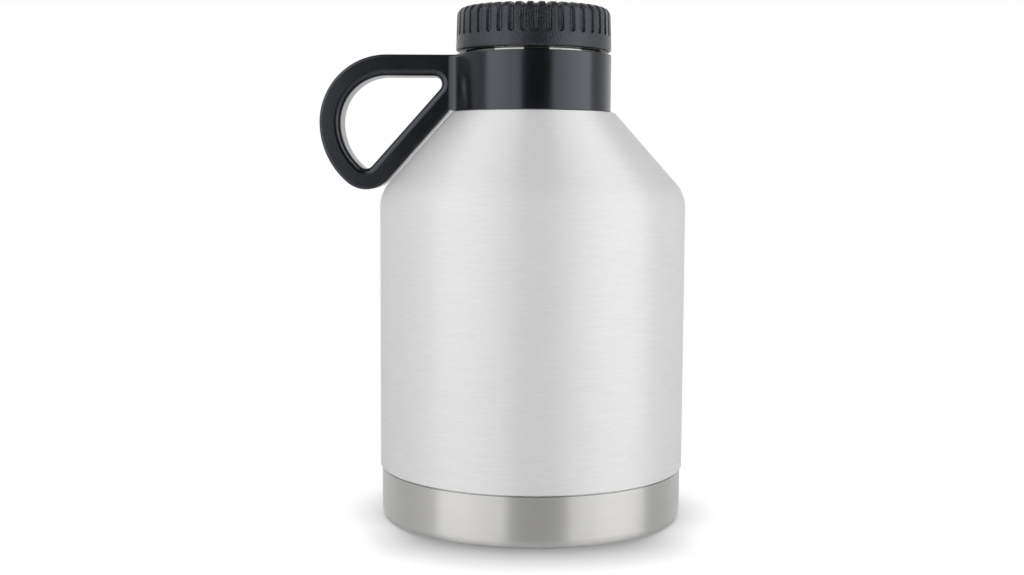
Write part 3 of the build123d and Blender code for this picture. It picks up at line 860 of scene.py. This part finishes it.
def softBox(name, lamp, distance):
    # Upright area light on a circle round the growler, facing the axis: width = 2 distance tan(span / 2),
    # power = radiance pi area
    width = 2 * distance * math.tan(math.radians(lamp["span"] / 2))
    data = bpy.data.lights.new(name, "AREA")
    data.shape = "RECTANGLE"
    data.size, data.size_y = width, lamp["height"]
    data.energy = lamp["radiance"] * math.pi * width * lamp["height"]
    light = bpy.data.objects.new(name, data)
    bpy.context.scene.collection.objects.link(light)
    turn = Matrix.Rotation(math.radians(lamp["azimuth"]), 4, "Z")
    place = Matrix.Translation((0, -distance, lamp["bottom"] + lamp["height"] / 2))
    light.matrix_world = turn @ place @ Matrix.Rotation(math.pi / 2, 4, "X")
    light.visible_camera = False


def showsBackground(tree, behind):
    # 1 for camera rays, and for mirrored or transmitted rays that end behind the growler
    ray = addNode(tree, "LightPath").outputs
    through = calc(tree, "MAXIMUM", ray["Is Glossy Ray"], ray["Is Transmission Ray"])
    return calc(tree, "MAXIMUM", ray["Is Camera Ray"], calc(tree, "MULTIPLY", through, behind))


def joinShaders(tree, kind, first, second, factor=None):
    # Add Shader of two shaders, or Mix Shader by a factor
    item = addNode(tree, kind)
    ends = [first, second] if factor is None else [factor, first, second]
    for place, output in enumerate(ends):
        tree.links.new(output, item.inputs[place])
    return item.outputs[0]


def makeWorld(light):
    # White for the background. Other rays see a room that is dim at the camera's end and pale behind the
    # growler: (front to side + side to behind, by the direction's y) * (1 to above, by its z)
    world = bpy.data.worlds.new("studioWorld")
    bpy.context.scene.world = world
    world.use_nodes = True
    tree = world.node_tree
    tree.nodes.clear()
    parts = addNode(tree, "SeparateXYZ")
    tree.links.new(addNode(tree, "TexCoord").outputs["Generated"], parts.inputs[0])
    near = remap(tree, parts.outputs[1], *light["frontToSide"], light["front"], light["side"])
    far = remap(tree, parts.outputs[1], *light["sideToBehind"], 0.0, light["behind"] - light["side"])
    overhead = remap(tree, parts.outputs[2], *light["sideToAbove"], 1.0, light["above"])
    room = addNode(tree, "Background", Color=(1, 1, 1, 1))
    tree.links.new(calc(tree, "MULTIPLY", calc(tree, "ADD", near, far), overhead), room.inputs["Strength"])
    white = addNode(tree, "Background", Color=(1, 1, 1, 1))
    shows = showsBackground(tree, remap(tree, parts.outputs[1], *light["whiteBehind"], 0.0, 1.0))
    mixed = joinShaders(tree, "MixShader", room.outputs[0], white.outputs[0], shows)
    tree.links.new(mixed, addNode(tree, "OutputWorld").inputs["Surface"])


def contactShade(tree, xyz, away, light):
    # 1 - (spared - open sky within shadowReach) * depth, and no less than shadowDeepest. Depth and spared
    # change with y / distance from the axis, so that the shadow is deepest in front of the growler
    hidden = addNode(tree, "AmbientOcclusion", samples=light["shadowSamples"], Distance=light["shadowReach"])
    ahead = calc(tree, "DIVIDE", xyz["Y"], away)
    depth = remap(tree, ahead, *light["frontEnds"], light["shadowFront"], light["shadowSide"])
    spared = remap(tree, ahead, *light["frontEnds"], 1.0, 1.0 - light["sideSpared"])
    shade = calc(tree, "MAXIMUM", calc(tree, "SUBTRACT", spared, hidden.outputs["AO"]), 0.0)
    shade = calc(tree, "SUBTRACT", 1.0, calc(tree, "MULTIPLY", shade, depth))
    return calc(tree, "MAXIMUM", shade, light["shadowDeepest"])


def makeFloor(light):
    # Pale floor. The growler is lit by a plain matt and glossy one. The camera sees
    # shade * (floorSeen as colour + floorLift as glow), which fades to white from floorNear to floorFar
    half = light["floorHalf"]
    mesh = bpy.data.meshes.new("studioFloor")
    corners = [(-half, -half, 0), (half, -half, 0), (half, half, 0), (-half, half, 0)]
    mesh.from_pydata(corners, [], [(0, 1, 2, 3)])
    floor = bpy.data.objects.new("studioFloor", mesh)
    bpy.context.scene.collection.objects.link(floor)
    material = bpy.data.materials.new("studioFloor")
    material.use_nodes = True
    tree = material.node_tree
    tree.nodes.clear()
    matt = addNode(tree, "BsdfDiffuse", Color=(light["floorAlbedo"],) * 3 + (1,))
    gloss = addNode(tree, "BsdfGlossy", Color=(light["floorGloss"],) * 3 + (1,),
                    Roughness=light["floorRough"])
    plain = joinShaders(tree, "AddShader", matt.outputs[0], gloss.outputs[0])
    place, xyz = objectPlace(tree)
    length = addNode(tree, "VectorMath", operation="LENGTH")
    tree.links.new(place, length.inputs[0])
    away = length.outputs["Value"]
    shade = contactShade(tree, xyz, away, light)
    seen = addNode(tree, "BsdfDiffuse")
    tree.links.new(calc(tree, "MULTIPLY", shade, light["floorSeen"], clamp=True), seen.inputs["Color"])
    lift = addNode(tree, "Emission")
    tree.links.new(calc(tree, "MULTIPLY", shade, light["floorLift"], clamp=True), lift.inputs["Strength"])
    near = joinShaders(tree, "AddShader", seen.outputs[0], lift.outputs[0])
    white = addNode(tree, "Emission", Strength=1.0)
    far = remap(tree, away, light["floorNear"], light["floorFar"], 0.0, 1.0)
    shown = joinShaders(tree, "MixShader", near, white.outputs[0], far)
    shows = showsBackground(tree, remap(tree, xyz["Y"], *light["floorBehind"], 0.0, 1.0))
    mixed = joinShaders(tree, "MixShader", plain, shown, shows)
    tree.links.new(mixed, addNode(tree, "OutputMaterial").inputs["Surface"])
    mesh.materials.append(material)


for name, lamp in studio["boxes"].items():
    softBox(name, lamp, studio["distance"])
makeWorld(studio)
makeFloor(studio)
bpy.context.scene.view_settings.view_transform = "Standard"
print("studio lit")
